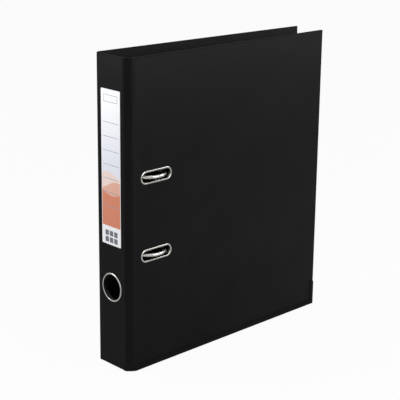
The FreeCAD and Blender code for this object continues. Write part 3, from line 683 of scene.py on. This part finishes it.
@dataclass(frozen=True)
class PrintedLabel(Finish):
    """Coated white paper: a pale writing panel over warm waves, a title field and index blocks.

    A height is measured from the floor, and a half is half of a width or of a height.
    """

    panel_half: tuple[float, float] = (13.9 * MM, 60 * MM)
    panel_height: float = 208 * MM
    panel_tone: str = "#e7e9f4"
    line_tone: str = "#8e99ac"
    line: float = 0.5 * MM
    line_pitch: float = 14 * MM
    line_half: float = 12 * MM
    title_half: tuple[float, float] = (10.5 * MM, 3.6 * MM)
    title_height: float = 276 * MM
    wave_pitch: float = 54 * MM
    waves: tuple[Wave, ...] = (
        Wave(200 * MM, 3.5 * MM, 0.9, "#f1dcd4"),
        Wave(190 * MM, 4.5 * MM, 2.6, "#e7b3a0"),
        Wave(183 * MM, 3.5 * MM, 4.9, "#da8a6e"),
    )
    block_tone: str = "#787a83"
    block: float = 5.4 * MM
    block_pitch: float = 6.8 * MM
    block_columns: int = 3
    block_height: float = 137.4 * MM
    fibre: float = 0.8 * MM
    fibre_depth: float = 0.0024 * MM

    def wave_mark(self, spot: Spot, wave: Wave) -> Socket:
        """Marks what lies below one wave, inside the panel.

        Args:
            spot: the shaded point.
            wave: the wave.

        Returns:
            The mark.
        """
        tree = spot.tree
        turn = {0: spot.across, 1: math.tau / self.wave_pitch, 2: wave.phase}
        angle = add_node(tree, "Math", turn, operation="MULTIPLY_ADD").outputs[0]
        swing = add_node(tree, "Math", {0: angle}, operation="SINE").outputs[0]
        crest = {0: swing, 1: wave.rise, 2: wave.height}
        edge = add_node(tree, "Math", crest, operation="MULTIPLY_ADD").outputs[0]
        below = add_node(tree, "Math", {0: edge, 1: spot.up}, operation="GREATER_THAN").outputs[0]
        inside = {0: self.panel_mark(spot), 1: below}
        return add_node(tree, "Math", inside, operation="MULTIPLY").outputs[0]

    def panel_mark(self, spot: Spot) -> Socket:
        """Marks the writing panel.

        Args:
            spot: the shaded point.

        Returns:
            The mark.
        """
        half_width, half_height = self.panel_half
        bands = (spot.across, 0, half_width), (spot.up, self.panel_height, half_height)
        return field_mark(spot.tree, *bands)

    def line_mark(self, spot: Spot) -> Socket:
        """Marks the ruled lines, which keep half a pitch off the panel's ends.

        Args:
            spot: the shaded point.

        Returns:
            The mark.
        """
        wrapped = {0: spot.up, 1: self.line_pitch, 2: 0.0}
        row = add_node(spot.tree, "Math", wrapped, operation="WRAP").outputs[0]
        ruled = self.panel_half[1] - self.line_pitch / 2
        lines = (row, self.line, self.line / 2), (spot.across, 0, self.line_half)
        return field_mark(spot.tree, *lines, (spot.up, self.panel_height, ruled))

    def title_mark(self, spot: Spot) -> Socket:
        """Marks the thin outline of the title field.

        Args:
            spot: the shaded point.

        Returns:
            The mark.
        """
        fields = []
        for inset in (0, self.line):
            half_width, half_height = (half - inset for half in self.title_half)
            bands = (spot.across, 0, half_width), (spot.up, self.title_height, half_height)
            fields.append(field_mark(spot.tree, *bands))
        outline = {0: fields[0], 1: fields[1]}
        return add_node(spot.tree, "Math", outline, operation="SUBTRACT").outputs[0]

    def block_mark(self, spot: Spot) -> Socket:
        """Marks the index blocks: a row of three above block_height and one below it.

        Args:
            spot: the shaded point.

        Returns:
            The mark.
        """
        pitch, half = self.block_pitch, self.block / 2
        turns = {0: spot.across, 1: pitch / 2, 2: -pitch / 2}
        column = add_node(spot.tree, "Math", turns, operation="WRAP").outputs[0]
        steps = {0: spot.up, 1: self.block_height + pitch, 2: self.block_height}
        row = add_node(spot.tree, "Math", steps, operation="WRAP").outputs[0]
        block = (column, 0, half), (row, self.block_height + pitch / 2, half)
        half_row = pitch * self.block_columns / 2
        rows = (spot.across, 0, half_row), (spot.up, self.block_height, pitch)
        return field_mark(spot.tree, *block, *rows)

    def pattern(self, tree: Tree, place: Socket) -> dict[str, Socket]:
        """The print, measured from the label's middle and from the floor.

        Args:
            tree: the material's node tree.
            place: where the shaded point is.

        Returns:
            Sockets for the shader's inputs, by input name.
        """
        low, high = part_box("spine_label")
        parts = add_node(tree, "SeparateXYZ", {0: place}).outputs
        shift = {0: parts[1], 1: (low.y + high.y) / 2}
        across = add_node(tree, "Math", shift, operation="SUBTRACT").outputs[0]
        spot = Spot(tree, across, parts[2])
        head = self.panel_height + self.panel_half[1]
        inputs = {"Value": parts[2], "From Min": head, "From Max": self.panel_height}
        depth = add_node(tree, "MapRange", inputs).outputs[0]
        tint = paint(tree, self.colour, (depth, self.panel_tone))
        coats = [(self.panel_mark(spot), tint)]
        coats += [(self.wave_mark(spot, wave), wave.colour) for wave in self.waves]
        coats += [(self.line_mark(spot), self.line_tone), (self.title_mark(spot), self.line_tone)]
        coats += [(self.block_mark(spot), self.block_tone)]
        fibres = patches(tree, place, self.fibre, detail=4)
        bump = {"Height": fibres, "Distance": self.fibre_depth}
        return {
            "Base Color": paint(tree, self.colour, *coats),
            "Normal": add_node(tree, "Bump", bump).outputs[0],
        }


# Satin black film on the boards: a soft grey sheen where light grazes it, with no mirror image.
FILM = EmbossedFilm("embossed_black_polypropylene", "#101011", 0.48, specular=0.07)
# The same film over the folds, pressed a little smoother by the scoring tool, and painted a little lighter than
# the covers' film as painted light that lifts the shaded fold band.
FOLD = EmbossedFilm("scored_black_polypropylene", "#151516", 0.46, specular=0.07)
# Black paper glued inside the covers: flat and dull, and a little rippled by the glue.
LINING = PressedPaper("black_lining_paper", "#1e1e1f", 0.88, specular=0.06, ripple_depth=0.48 * MM)
# Pressed pulp with its cut edges stained black, which show in the creases when they open: dull.
BOARD = PressedPaper("edge_stained_board", "#191817", 0.95, specular=0.05, fibre_tone="#222120")
# Polished nickel on the eyelets and the ring: a bright rim with sharp light and dark bands.
BRIGHT = PlatedMetal("polished_nickel_plate", "#d2d0cb", 0.14, metallic=1.0, rub_tone="#a3a29e")
# The same plate inside the ring, painted darker as painted shade, so that the hole stays dark.
SHADED_BARREL = PlatedMetal("dulled_nickel_barrel", "#4a4a49", 0.45, metallic=1.0, rub_tone="#3a3a39")
# Zinc plate on the mechanism: bright, but too grainy for a clear mirror image.
PLATED = PlatedMetal("zinc_plated_steel", "#adafb2", 0.3, metallic=1.0, rub_tone="#888a8d")
# Stoved black enamel on the edge guards: smooth, with one soft highlight along each edge.
ENAMEL = BakedEnamel("black_enamelled_steel", "#0e0e0f", 0.42, specular=0.08)
# Moulded nylon on the roller and the bushes: a wider, waxy highlight.
NYLON = BakedEnamel("black_moulded_nylon", "#161616", 0.5, specular=0.3)
# Coated printing paper: bright, smooth and faintly glossy.
LABEL = PrintedLabel("printed_coated_paper", "#fafbfd", 0.45, specular=0.3)

CAD_FINISHES = {
    Slot.BOARD: BOARD,
    Slot.FILM: FILM,
    Slot.FOLD: FOLD,
    Slot.LINING: LINING,
    Slot.LABEL: LABEL,
    Slot.BRIGHT: BRIGHT,
    Slot.PLATED: PLATED,
    Slot.GUARD: ENAMEL,
    Slot.NYLON: NYLON,
}


def dress_cad_nodes() -> None:
    """Puts the finishes on the CAD nodes, by the record's slots."""
    for node in frame["nodes"].values():
        for holder in node.material_slots:
            holder.material = CAD_FINISHES[Slot(holder.material.name)].material()


# ---- The case ----


JOINT_PLACES = {joint["name"]: Vector(joint["pos_m"]) for joint in frame["joints"] if "pos_m" in joint}
COVER_CREASES = {Side.FRONT: "cover_crease", Side.BACK: "back_fold_crease"}
SPINE_CREASES = {Side.FRONT: "spine_front_crease", Side.BACK: "spine_back_crease"}


def at_height(point: Vector, height: float) -> Vector:
    """The same place at another height."""
    return Vector((point.x, point.y, height))


@dataclass
class Case:
    """What the wraps share: the board's wall, the film's height and the creases' places."""

    crease_reach: float = 3.5 * MM
    rim_radius: float = 0.5 * MM
    rim_segments: int = 3
    hole_clearance: float = 0.1 * MM
    wall: float = field(init=False)
    foot: float = field(init=False)
    head: float = field(init=False)
    fore_edge: float = field(init=False)
    lean: float = field(init=False)

    def __post_init__(self) -> None:
        """Reads the sizes that the frame gives."""
        low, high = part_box("back_film")
        self.wall = high.y - low.y
        self.foot, self.head, self.fore_edge = low.z, high.z, high.x
        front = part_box("front_film")[1]
        crease = self.crease(Side.FRONT)
        rise = front.y - crease.y - self.wall
        self.lean = math.asin(rise / (self.fore_edge - crease.x))

    def crease(self, side: Side) -> Vector:
        """Where a cover's crease lies on the outer face."""
        return JOINT_PLACES[COVER_CREASES[side]]

    def cover_way(self, side: Side) -> Vector:
        """The way from a cover's crease to its fore-edge."""
        lean = self.lean if side is Side.FRONT else 0.0
        return Vector((math.cos(lean), math.sin(lean), 0))

    def lean_over(self, piece: Piece) -> None:
        """Turns a piece by the front cover's lean, about that cover's crease.

        Args:
            piece: a piece that is drawn square to the spine.
        """
        crease = at_height(self.crease(Side.FRONT), 0)
        turned = crease.copy()
        turned.rotate(Euler((0, 0, self.lean)))
        piece.location = crease - turned
        piece.rotation_euler.z = self.lean
        fix_place(piece)


@dataclass
class CoverWrap(SubAssembly):
    """One cover's board in its film: outer face, rounded edges and the turned-in inner border."""

    case: Case
    side: Side
    hole_steps: int = 12

    def slot_cutter(self, node: str) -> Piece:
        """The hole for one slot eyelet's barrel, drawn square to the spine.

        Args:
            node: the CAD eyelet.

        Returns:
            A cutter that is longer than the cover is thick.
        """
        eyelet = SlotEyelet(self.case, node)
        radius = eyelet.barrel + self.case.hole_clearance
        half = eyelet.straight / 2 + radius
        corners = (-half, -radius), (half, -radius), (half, radius), (-half, radius)
        middle = Vector((eyelet.centre.x, eyelet.centre.z, 0))
        places = [(middle + Vector((across, up, 0)), radius) for across, up in corners]
        cutter = trace("slot_cutter", places, self.hole_steps)
        length = self.case.wall * CUTTER_WALLS
        raise_outline(cutter, length)
        cutter.rotation_euler.x = math.radians(90)
        cutter.location.y = eyelet.centre.y + (self.case.wall + length) / 2
        return cutter

    def build(self) -> list[Piece]:
        """Rounds a slab's free edges, and cuts the front cover's slots and leans it over.

        Returns:
            The finished piece.
        """
        case, side = self.case, self.side
        crease = case.crease(side)
        faces = sorted([crease.y, crease.y + case.wall * side.value])
        start = crease.x + case.crease_reach
        low = Vector((start, faces[0], case.foot))
        high = Vector((case.fore_edge, faces[1], case.head))
        wrap = slab(f"{side.word}_cover_wrap", low, high)
        # All edges but those at the crease, where the fold's film carries on.
        round_edges(
            wrap,
            lambda edge: max(vert.co.x for vert in edge.verts) > start + MM,
            case.rim_radius,
            case.rim_segments,
        )
        if side is Side.FRONT:
            for node in SLOT_EYELETS:
                cut(wrap, self.slot_cutter(node))
            case.lean_over(wrap)
        smooth(wrap)
        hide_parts(f"{side.word}_film")
        return [hand_over(wrap, FILM, f"{side.word}_cover")]


@dataclass
class FoldWrap(SubAssembly):
    """The film over one fold strip, in two halves that meet in the strip's middle.

    Each half wraps the edge of the panel beside it and bends at that panel's crease.
    """

    case: Case
    side: Side
    crease_round: float = 1.6 * MM
    strip_wall: float = 0.6 * MM
    film_lap: float = 0.05 * MM
    inner_round: float = 0.35 * MM
    turn_start: float = 0.5 * MM
    turn_end: float = 1.0 * MM

    def half(self, crease: Vector, other: Vector, panel: Vector, name: str) -> Piece:
        """One half: the panel's edge, the crease and half of the strip.

        Args:
            crease: the crease that this half bends at.
            other: the strip's other crease.
            panel: the way from the crease into the panel.
            name: the piece's name.

        Returns:
            The raised piece, not yet handed over.
        """
        case = self.case
        strip = (other - crease).normalized()
        middle = (crease + other) / 2
        panel_in, strip_in = self.inward(panel, crease), self.inward(strip, crease)
        edge = crease + panel * self.film_lap
        # The strip's inner face ends where the line down the panel's edge crosses it.
        across = (edge - crease - strip_in * self.strip_wall).cross(panel_in).z
        under = crease + strip_in * self.strip_wall
        inner = under + strip * (across / strip.cross(panel_in).z)
        turn = (-panel).angle(strip)
        end = crease + panel * case.crease_reach
        corners = [
            (end, 0.0),
            (crease, self.crease_round / math.tan(turn / 2)),
            (middle, 0.0),
            (middle + strip_in * self.strip_wall, 0.0),
            (inner, self.inner_round),
            (edge + panel_in * case.wall, self.inner_round),
            (end + panel_in * case.wall, 0.0),
        ]
        piece = trace(name, [(at_height(spot, case.foot), size) for spot, size in corners])
        raise_outline(piece, case.head - case.foot)
        smooth(piece)
        return piece

    def inward(self, way: Vector, crease: Vector) -> Vector:
        """The way into the file, square to a panel or strip."""
        square = Vector((-way.y, way.x, 0))
        return square if square.dot(crease) < 0 else -square

    def build(self) -> list[Piece]:
        """Makes both halves, each rounded over its crease; neither rides on a body.

        Returns:
            The finished pieces.
        """
        case, side = self.case, self.side
        cover, spine = case.crease(side), JOINT_PLACES[SPINE_CREASES[side]]
        along_spine = Vector((0, side.value, 0))
        fold, panel = f"{side.word}_fold", f"{side.word}_cover"
        halves = []
        for crease, other, way, body in (
            (cover, spine, case.cover_way(side), panel),
            (spine, cover, along_spine, "spine"),
        ):
            piece = self.half(crease, other, way, f"{fold}_wrap_{body.split('_')[-1]}_side")
            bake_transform(piece)
            halves.append(hand_over(piece, FOLD, None))
            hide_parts(f"{fold}_strip")
        return halves


@dataclass
class SpineWrap(SubAssembly):
    """The spine's board in its film, with the hole for the finger ring."""

    case: Case
    hole_steps: int = 96

    def build(self) -> list[Piece]:
        """Rounds a slab's upper and lower edges and cuts the ring's hole.

        Returns:
            The finished piece.
        """
        case = self.case
        front, back = (JOINT_PLACES[SPINE_CREASES[side]] for side in (Side.FRONT, Side.BACK))
        low = Vector((front.x, front.y + case.crease_reach, case.foot))
        high = Vector((front.x + case.wall, back.y - case.crease_reach, case.head))
        wrap = slab("spine_wrap", low, high)
        round_edges(wrap, lambda edge: runs_along(edge, 1), case.rim_radius, case.rim_segments)
        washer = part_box("finger_ring_washer")
        bpy.ops.mesh.primitive_cylinder_add(
            vertices=self.hole_steps,
            radius=FingerRing().barrel + case.hole_clearance,
            depth=case.wall * CUTTER_WALLS,
            location=(washer[0] + washer[1]) / 2,
            rotation=(0, math.radians(90), 0),
        )
        cut(wrap, settle("ring_cutter"))
        smooth(wrap)
        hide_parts("spine_film")
        return [hand_over(wrap, FILM, "spine")]


@dataclass
class FingerRing(SubAssembly):
    """A bright ring: a rounded flange outside, a barrel through the spine and a rolled rim."""

    hole: float = 13.25 * MM
    barrel: float = 13.5 * MM
    flange: float = 15.0 * MM
    flange_round: float = 0.75 * MM
    rim: float = 0.5 * MM
    rim_round: float = 0.2 * MM
    dull_lip: float = 0.3 * MM
    dull_from: float = 0.1 * MM
    round_steps: int = 4
    steps: int = 96

    def build(self) -> list[Piece]:
        """Turns the ring's section round its axis and gives its barrel painted shade.

        Returns:
            The finished piece.
        """
        low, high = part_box("finger_ring")
        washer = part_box("finger_ring_washer")[1].x
        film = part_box("spine_film")[0].x
        centre = (low + high) / 2
        section = [
            ((low.x, self.hole), self.flange_round),
            ((low.x, self.flange), self.flange_round),
            ((film, self.flange), 0.0),
            ((film, self.barrel), 0.0),
            ((washer, self.barrel), 0.0),
            ((washer, self.barrel + self.rim), 0.0),
            ((high.x, self.barrel + self.rim), self.rim_round),
            ((high.x, self.hole), self.rim_round),
        ]
        corners = [(Vector((x, centre.y + r, centre.z)), size) for (x, r), size in section]
        ring = trace("finger_ring_finished", corners, self.round_steps)
        with editing(ring):
            sweep_round(centre, Vector((1, 0, 0)), math.tau, self.steps)
        tidy_normals(ring)
        smooth(ring)
        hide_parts("finger_ring")
        hand_over(ring, BRIGHT, "spine")
        # The barrel and the inner lip take a darker copy of the plate: painted shade in the hole.
        ring.data.materials.append(SHADED_BARREL.material())
        for face in ring.data.polygons:
            out = (face.center - centre) * Vector((0, 1, 1))
            inside = out.length < self.hole + self.dull_lip and face.center.x > low.x + self.dull_from
            face.material_index = int(inside)
        return [ring]


@dataclass
class SlotEyelet(SubAssembly):
    """A bright oblong eyelet: the ring's section swept round a racetrack."""

    case: Case
    node: str
    flange: float = 1.8 * MM
    wall: float = 0.5 * MM
    proud: float = 0.8 * MM
    rim: float = 0.5 * MM
    rim_round: float = 0.2 * MM
    hole_round: float = 0.5 * MM
    flange_round: float = 0.65 * MM
    lining: float = 0.3 * MM
    round_steps: int = 4
    end_steps: int = 12
    outer: float = field(init=False)
    barrel: float = field(init=False)
    straight: float = field(init=False)
    centre: Vector = field(init=False)

    def __post_init__(self) -> None:
        """Works out the racetrack from the CAD eyelet's box."""
        low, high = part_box(self.node)
        crease, way = self.case.crease(Side.FRONT), self.case.cover_way(Side.FRONT)
        self.outer = (high.z - low.z) / 2
        self.barrel = self.outer - self.flange + self.wall
        depth = self.proud + self.case.wall + self.lining + self.rim
        length = ((high.x - low.x) - depth * math.sin(self.case.lean)) / math.cos(self.case.lean)
        self.straight = length - 2 * self.outer
        middle = (low + high) / 2
        self.centre = Vector((crease.x + (middle - crease).dot(way), crease.y, middle.z))

    def build(self) -> list[Piece]:
        """Sweeps the section up one end, along, round the other end and back.

        Returns:
            The finished piece.
        """
        hole = self.outer - self.flange
        inside = self.case.wall + self.lining
        section = [
            ((hole, -self.proud), self.hole_round),
            ((self.outer, -self.proud), self.flange_round),
            ((self.outer, 0), 0.0),
            ((self.barrel, 0), 0.0),
            ((self.barrel, inside), 0.0),
            ((self.barrel + self.rim, inside), 0.0),
            ((self.barrel + self.rim, inside + self.rim), self.rim_round),
            ((hole, inside + self.rim), self.rim_round),
        ]
        half = Vector((self.straight / 2, 0, 0))
        left, right = self.centre - half, self.centre + half
        corners = [(right + Vector((r, depth, 0)), size) for (r, depth), size in section]
        eyelet = trace(f"{self.node}_finished", corners, self.round_steps)
        up = Vector((0, -1, 0))
        with editing(eyelet):
            sweep_round(right, up, math.pi / 2, self.end_steps)
            draw_to(left - right)
            sweep_round(left, up, math.pi, self.end_steps * 2)
            draw_to(right - left)
            sweep_round(right, up, math.pi / 2, self.end_steps)
        tidy_normals(eyelet)
        self.case.lean_over(eyelet)
        smooth(eyelet)
        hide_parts(self.node)
        return [hand_over(eyelet, BRIGHT, "front_cover")]


@dataclass
class SpineLabel(SubAssembly):
    """A coated paper label with rounded corners, stuck to the spine."""

    width: float = 29 * MM
    corner: float = 0.8 * MM
    corner_segments: int = 5

    def build(self) -> list[Piece]:
        """Cuts the label out and rounds its corners.

        Returns:
            The finished piece.
        """
        low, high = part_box("spine_label")
        trim = Vector((0, (high.y - low.y - self.width) / 2, 0))
        label = slab("spine_label_finished", low + trim, high - trim)
        round_edges(label, lambda edge: runs_along(edge, 0), self.corner, self.corner_segments)
        smooth(label)
        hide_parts("spine_label")
        return [hand_over(label, LABEL, "spine")]


SLOTS = {part["node"]: Slot(part["material_slot"]) for part in frame["record"]["subparts"]}
BODIES = {
    node: body
    for body, nodes in frame["record"]["behaviour"]["bodies"].items()
    for node in nodes
}
SOFT_EDGED = (
    "front_edge_guard",
    "back_edge_guard",
    "finger_ring_washer",
    "base_plate",
    "plate_rivets",
    "post_upper",
    "post_lower",
    "lever",
    "lever_pin",
    "lever_roller",
    "roller_pin",
    "compressor_bar",
    "compressor_bushes",
)


@dataclass
class HardParts(SubAssembly):
    """The guards and the lever arch mechanism: their CAD shapes with slightly rounded edges.

    Edges that turn less than the sharp angle, in degrees, stay as they are, and faces that turn
    less than the flat angle become one.
    """

    edge: float = 0.15 * MM
    edge_segments: int = 2
    sharp: float = 40
    flat: float = 1
    merge: float = 0.002 * MM

    def rounded(self, node: str) -> Piece:
        """A CAD node's shape with its sharp edges broken by the small radius.

        Args:
            node: the CAD node, which the copy replaces.

        Returns:
            The rounded piece, not yet handed over.
        """
        mesh = frame["nodes"][node].data.copy()
        piece = bpy.data.objects.new(f"{node}_finished", mesh)
        bpy.context.scene.collection.objects.link(piece)
        with editing(piece):
            bpy.ops.mesh.customdata_custom_splitnormals_clear()
            bpy.ops.mesh.remove_doubles(threshold=self.merge)
            bpy.ops.mesh.dissolve_limited(angle_limit=math.radians(self.flat))
        modify(
            piece,
            "BEVEL",
            width=self.edge,
            segments=self.edge_segments,
            limit_method="ANGLE",
            angle_limit=math.radians(self.sharp),
            use_clamp_overlap=True,
        )
        smooth(piece, self.sharp)
        modify(piece, "WEIGHTED_NORMAL", keep_sharp=True)
        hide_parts(node)
        return piece

    def build(self) -> list[Piece]:
        """Rounds every stamped, turned or moulded piece and hands each over."""
        return [
            hand_over(self.rounded(node), CAD_FINISHES[SLOTS[node]], BODIES[node])
            for node in SOFT_EDGED
        ]


# ---- Studio ----


@dataclass(frozen=True)
class SoftBox:
    """A square lamp: where it stands in degrees, its distance and side in metres, and its watts."""

    name: str
    azimuth: float
    elevation: float
    distance: float
    side: float
    power: float


def direction(azimuth: float, elevation: float) -> Vector:
    """The way from the file to a place round it.

    Args:
        azimuth: degrees round from the front, positive towards the fore-edge.
        elevation: degrees above level.

    Returns:
        The way, as a unit vector.
    """
    turn, rise = math.radians(azimuth), math.radians(elevation)
    level = math.cos(rise)
    return Vector((math.sin(turn) * level, -math.cos(turn) * level, math.sin(rise)))


@dataclass
class Studio:
    """Floor, light and camera."""

    azimuth: float = -42.81
    elevation: float = 16.23
    roll: float = 0.67
    distance: float = 1281.2 * MM
    target: Vector = field(default_factory=lambda: Vector((-15.0, 11.7, 149.1)) * MM)
    lens: float = 108.9
    sensor: float = 36.0
    sky: float = 0.45
    floor_span: float = 12.0
    floor_glow: float = 0.95
    floor_gloss: float = 0.05
    floor_tone: str = "#b8b8b8"
    lamps: tuple[SoftBox, ...] = (
        SoftBox("spine_soft_box", azimuth=-124, elevation=40, distance=0.6, side=0.3, power=2.55),
        SoftBox("cover_soft_box", azimuth=5, elevation=24, distance=0.7, side=0.35, power=2.75),
        SoftBox("rim_soft_box", azimuth=56, elevation=32, distance=0.7, side=0.25, power=1.2),
    )

    def place_camera(self) -> None:
        """Stands the camera where it sees the spine and the front cover."""
        back = direction(self.azimuth, self.elevation)
        bpy.ops.object.camera_add(location=self.target + back * self.distance)
        camera = bpy.context.object
        camera.name = "camera"
        camera.rotation_mode = "QUATERNION"
        camera.rotation_quaternion = (-back).to_track_quat("-Z", "Y")
        camera.rotation_mode = "XYZ"
        camera.rotation_euler.rotate_axis("Z", math.radians(self.roll))
        camera.data.lens = self.lens
        camera.data.sensor_width = self.sensor
        bpy.context.scene.camera = camera

    def hang(self, box: SoftBox) -> None:
        """Hangs a soft box so that it faces the file.

        Args:
            box: the soft box.
        """
        back = direction(box.azimuth, box.elevation)
        bpy.ops.object.light_add(type="AREA", location=self.target + back * box.distance)
        lamp = bpy.context.object
        lamp.name = box.name
        lamp.rotation_euler = (-back).to_track_quat("-Z", "Y").to_euler()
        lamp.data.shape = "SQUARE"
        lamp.data.size = box.side
        lamp.data.energy = box.power

    def seen(self, tree: Tree) -> Socket:
        """Marks the rays of the eye, of reflections and of glass, which see the white surround.

        Args:
            tree: the node tree of the world or of the floor.

        Returns:
            The mark.
        """
        path = add_node(tree, "LightPath").outputs
        rays = [path[f"Is {kind} Ray"] for kind in ("Camera", "Glossy", "Transmission")]
        some = add_node(tree, "Math", {0: rays[0], 1: rays[1]}, operation="MAXIMUM").outputs[0]
        return add_node(tree, "Math", {0: some, 1: rays[2]}, operation="MAXIMUM").outputs[0]

    def light_world(self) -> None:
        """A white surround for the eye and for reflections, and a soft even sky for the rest."""
        world = bpy.data.worlds.new("surround")
        bpy.context.scene.world = world
        tree = blank_tree(world)
        sky = add_node(tree, "Background", {"Color": linear("#ffffff"), "Strength": self.sky})
        white = add_node(tree, "Background", {"Color": linear("#ffffff"), "Strength": 1.0})
        ways = {0: self.seen(tree), 1: sky.outputs[0], 2: white.outputs[0]}
        both = add_node(tree, "MixShader", ways)
        add_node(tree, "OutputWorld", {"Surface": both.outputs[0]})

    def lay_floor(self) -> None:
        """A wide pale floor that shows white and keeps the file's soft shadow."""
        bpy.ops.mesh.primitive_plane_add(size=self.floor_span, location=(0, 0, 0))
        floor = settle("floor")
        made = bpy.data.materials.new("pale_studio_floor")
        tree = blank_tree(made)
        eye = add_node(tree, "LightPath").outputs["Is Camera Ray"]
        ways = {0: eye, 1: self.floor_glow - self.floor_gloss, 2: self.floor_gloss}
        level = add_node(tree, "Math", ways, operation="MULTIPLY_ADD").outputs[0]
        glowing = {0: self.seen(tree), 1: level}
        share = add_node(tree, "Math", glowing, operation="MULTIPLY").outputs[0]
        lit = add_node(tree, "BsdfDiffuse", {"Color": linear(self.floor_tone)})
        glow = add_node(tree, "Emission", {"Color": linear("#ffffff"), "Strength": 1.0})
        both = add_node(tree, "MixShader", {0: share, 1: lit.outputs[0], 2: glow.outputs[0]})
        add_node(tree, "OutputMaterial", {"Surface": both.outputs[0]})
        floor.data.materials.append(made)

    def build(self) -> None:
        """Sets the studio up."""
        self.place_camera()
        self.light_world()
        self.lay_floor()
        for box in self.lamps:
            self.hang(box)
        bpy.context.scene.view_settings.view_transform = "Standard"


def main() -> None:
    """Builds the file's sub-assemblies in order, reports each piece and sets up the studio."""
    logging.basicConfig(level=logging.INFO, format="%(name)s %(message)s")
    dress_cad_nodes()
    case = Case()
    assemblies: list[SubAssembly] = []
    for side in Side:
        assemblies += [CoverWrap(case, side), FoldWrap(case, side)]
    assemblies += [SpineWrap(case), FingerRing()]
    assemblies += [SlotEyelet(case, node) for node in SLOT_EYELETS]
    assemblies += [SpineLabel(), HardParts()]
    for assembly in assemblies:
        for piece in assembly.build():
            LOG.info("%s: %d faces", piece.name, len(piece.data.polygons))
    studio = Studio()
    studio.build()
    LOG.info("studio: %d lamps", len(studio.lamps))


if __name__ == "__main__":
    main()
